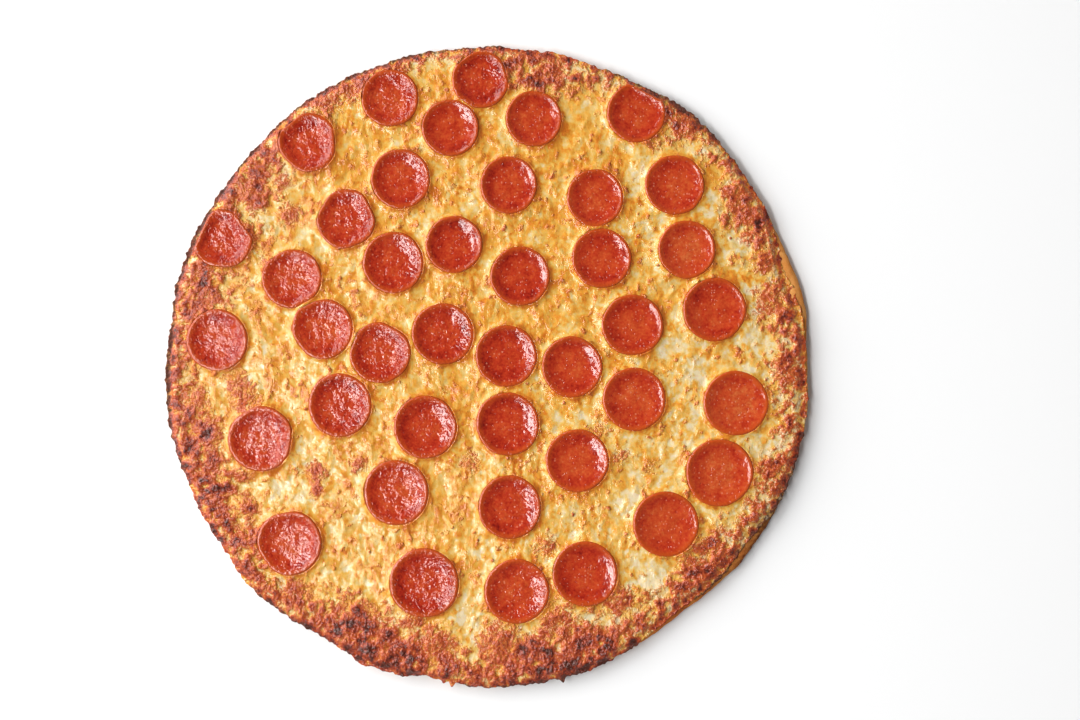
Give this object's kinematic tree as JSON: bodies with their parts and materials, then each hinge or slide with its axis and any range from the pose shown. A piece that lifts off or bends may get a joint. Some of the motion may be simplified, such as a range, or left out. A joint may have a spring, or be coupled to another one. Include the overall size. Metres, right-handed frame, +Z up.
{
  "type": "whole pepperoni pizza",
  "caption": "Whole uncut thin-crust pizza with melted cheese baked to the edge and cooked pepperoni slices, lying flat on its crust.",
  "frame": {"origin": "middle of the flat underside of the crust, on the surface that the pizza lies on", "axes": "+Z up through the toppings, +X to the right and +Y to the far side as the picture shows it"},
  "size_m": [0.3551, 0.355, 0.0112],
  "materials": {
    "baked_dough": "baked thin dough, dry and browned, stands in as matte plastic",
    "melted_cheese": "melted cheese with a film of oil, browned at the rim, stands in as gloss plastic",
    "cooked_sausage": "cooked greasy sausage, stands in as gloss plastic"
  },
  "bodies": {
    "root": {"crust": "baked_dough", "cheese": "melted_cheese", "pepperoni_01": "cooked_sausage", "pepperoni_02": "cooked_sausage", "pepperoni_03": "cooked_sausage", "pepperoni_04": "cooked_sausage", "pepperoni_05": "cooked_sausage", "pepperoni_06": "cooked_sausage", "pepperoni_07": "cooked_sausage", "pepperoni_08": "cooked_sausage", "pepperoni_09": "cooked_sausage", "pepperoni_10": "cooked_sausage", "pepperoni_11": "cooked_sausage", "pepperoni_12": "cooked_sausage", "pepperoni_13": "cooked_sausage", "pepperoni_14": "cooked_sausage", "pepperoni_15": "cooked_sausage", "pepperoni_16": "cooked_sausage", "pepperoni_17": "cooked_sausage", "pepperoni_18": "cooked_sausage", "pepperoni_19": "cooked_sausage", "pepperoni_20": "cooked_sausage", "pepperoni_21": "cooked_sausage", "pepperoni_22": "cooked_sausage", "pepperoni_23": "cooked_sausage", "pepperoni_24": "cooked_sausage", "pepperoni_25": "cooked_sausage", "pepperoni_26": "cooked_sausage", "pepperoni_27": "cooked_sausage", "pepperoni_28": "cooked_sausage", "pepperoni_29": "cooked_sausage", "pepperoni_30": "cooked_sausage", "pepperoni_31": "cooked_sausage", "pepperoni_32": "cooked_sausage", "pepperoni_33": "cooked_sausage", "pepperoni_34": "cooked_sausage", "pepperoni_35": "cooked_sausage", "pepperoni_36": "cooked_sausage", "pepperoni_37": "cooked_sausage", "pepperoni_38": "cooked_sausage", "pepperoni_39": "cooked_sausage", "pepperoni_40": "cooked_sausage", "pepperoni_41": "cooked_sausage"}
  },
  "joints": []
}
